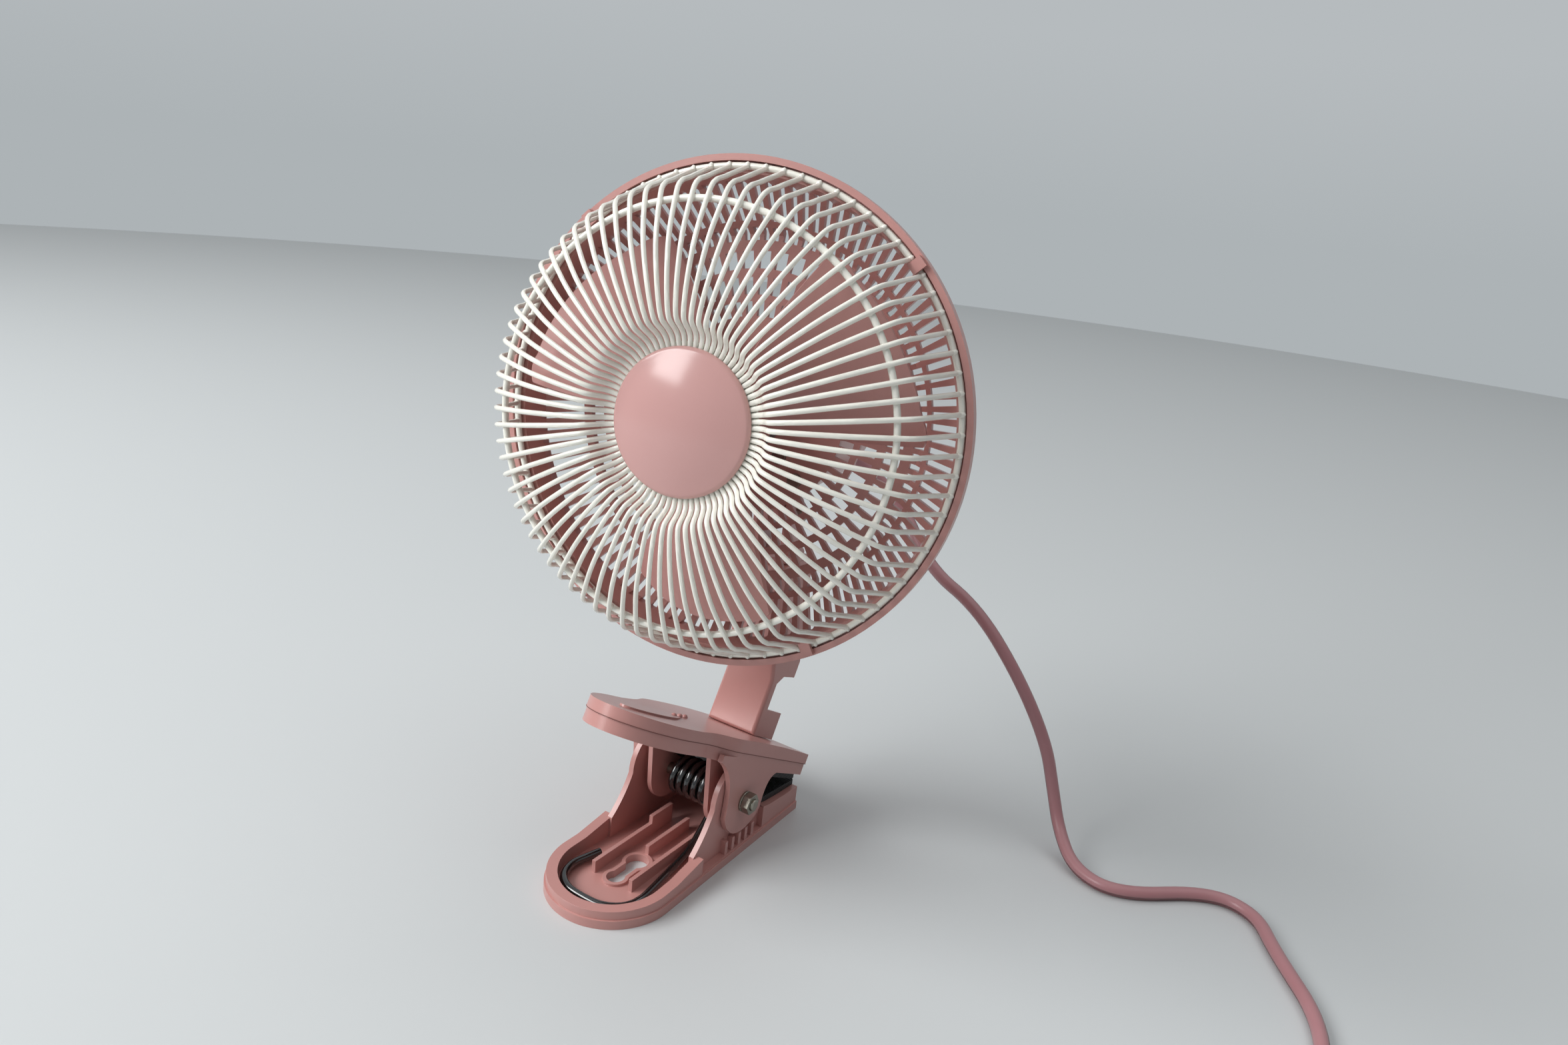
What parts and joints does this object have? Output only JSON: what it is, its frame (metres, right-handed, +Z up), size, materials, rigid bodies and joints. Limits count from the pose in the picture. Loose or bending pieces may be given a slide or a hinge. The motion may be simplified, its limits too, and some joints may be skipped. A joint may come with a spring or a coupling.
{
  "type": "clip fan",
  "caption": "Small wire-fronted fan with a domed hub badge, its motor head panning and tilting on a short neck that rises from the upper lever of a wide spring clip.",
  "frame": {"origin": "On the resting surface under the clip's pivot, in the clip's symmetry plane.", "axes": "+Z up, +X across the clip to the right of someone facing the handles, +Y from the handles towards the jaws; the fan faces mostly -Y."},
  "size_m": [0.4103, 0.2382, 0.2831],
  "materials": {
    "rose_abs": "glossy dusty-rose ABS",
    "ivory_wire": "steel wire with an ivory coating",
    "badge_gloss": "polished dusty-rose dome, bare",
    "black_spring": "black enamelled spring wire",
    "zinc_steel": "zinc-plated fasteners",
    "lamination": "stacked iron laminations",
    "copper": "enamelled copper winding",
    "bracket_metal": "die-cast bracket",
    "shaft_steel": "ground steel shaft",
    "blade_plastic": "moulded fan blade, rose",
    "pad_rubber": "dark soft rubber jaw pad",
    "black_plastic": "black moulded switch parts",
    "cord_pvc": "rose twin cord jacket",
    "pin_brass": "nickel-plated brass pins"
  },
  "bodies": {
    "base": {"lower_jaw": "rose_abs", "lower_pad": "pad_rubber"},
    "lever": {"upper_lever": "rose_abs", "upper_pad": "pad_rubber", "pivot_bolt": "zinc_steel", "pivot_nut": "zinc_steel", "pivot_washers": "zinc_steel", "torsion_spring": "black_spring", "neck": "rose_abs", "neck_screws": "zinc_steel"},
    "yoke": {"pan_yoke": "rose_abs", "swivel_washer": "zinc_steel", "swivel_screw": "zinc_steel", "tilt_bolt": "zinc_steel", "tilt_nut": "zinc_steel"},
    "head": {"motor_housing": "rose_abs", "front_bracket": "bracket_metal", "rear_bracket": "bracket_metal", "bearings": "pin_brass", "stator": "lamination", "windings": "copper", "motor_bolts": "zinc_steel", "rear_guard": "rose_abs", "guard_screws": "zinc_steel", "housing_screws": "zinc_steel", "front_grille": "ivory_wire", "centre_badge": "badge_gloss", "badge_plate": "rose_abs", "badge_screws": "zinc_steel", "switch_body": "black_plastic", "strain_relief": "cord_pvc", "power_cord": "cord_pvc", "cord_coil": "cord_pvc", "plug_body": "cord_pvc", "plug_pins": "pin_brass"},
    "impeller": {"fan_blade": "blade_plastic", "blade_nut": "blade_plastic", "motor_shaft": "shaft_steel", "rotor": "lamination"},
    "rocker": {"switch_rocker": "black_plastic"}
  },
  "joints": [
    {"name": "jaw_open", "type": "hinge", "parent": "base", "child": "lever", "pos_m": [0, 0, 0.0253], "axis": [1, 0, 0], "range_deg": [0, 35], "stiffness_Nm_per_rad": 2, "springref_deg": -40.11, "deforming": ["torsion_spring"]},
    {"name": "head_pan", "type": "hinge", "parent": "lever", "child": "yoke", "pos_m": [0, 0.045, 0.118], "axis": [0, 0, 1], "range_deg": [-45, 45]},
    {"name": "head_tilt", "type": "hinge", "parent": "yoke", "child": "head", "pos_m": [0, 0.045, 0.1393], "axis": [0.9851, 0.1719, 0], "range_deg": [-25, 20]},
    {"name": "fan_spin", "type": "hinge", "parent": "head", "child": "impeller", "pos_m": [0.01191, -0.02325, 0.19069], "axis": [0.171, -0.9799, 0.1028], "continuous": true},
    {"name": "switch_rock", "type": "hinge", "parent": "head", "child": "rocker", "pos_m": [-0.00328, 0.06379, 0.18961], "axis": [0.9851, 0.1719, 0], "range_deg": [-16, 0]}
  ]
}
